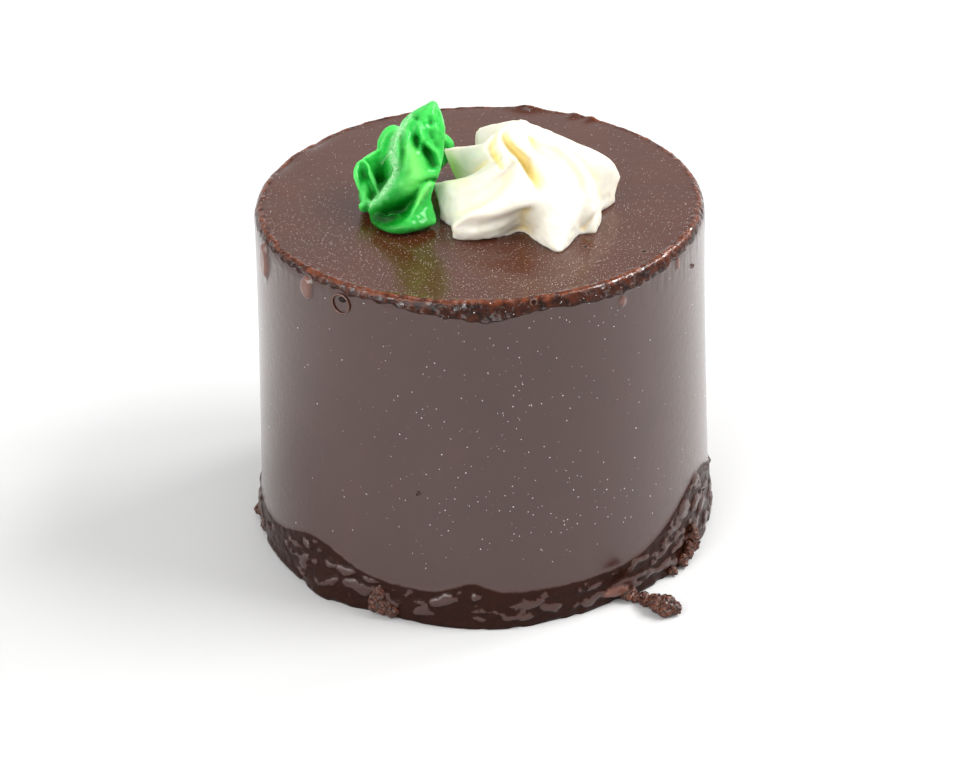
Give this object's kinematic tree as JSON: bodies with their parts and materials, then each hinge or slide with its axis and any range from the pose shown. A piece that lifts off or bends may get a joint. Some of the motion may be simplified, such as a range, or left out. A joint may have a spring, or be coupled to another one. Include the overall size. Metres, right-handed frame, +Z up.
{
  "type": "chocolate cake",
  "caption": "Round single-portion chocolate cake in dark glaze, with a wavy foot, pressed-out crumbs, a piped cream rosette and a green icing leaf on top.",
  "frame": {"origin": "centre of the cake's underside, on the surface it stands on", "axes": "+Z up along the cake's round body, -Y towards the side the picture shows as the front, +X to its right"},
  "size_m": [0.062, 0.0622, 0.0611],
  "materials": {
    "dark_glaze": "satin-gloss dark chocolate glaze",
    "white_cream": "soft matt cream",
    "green_icing": "moist green icing"
  },
  "bodies": {
    "root": {"cake_body": "dark_glaze", "cream_rosette": "white_cream", "leaf_piping": "green_icing"}
  },
  "joints": []
}
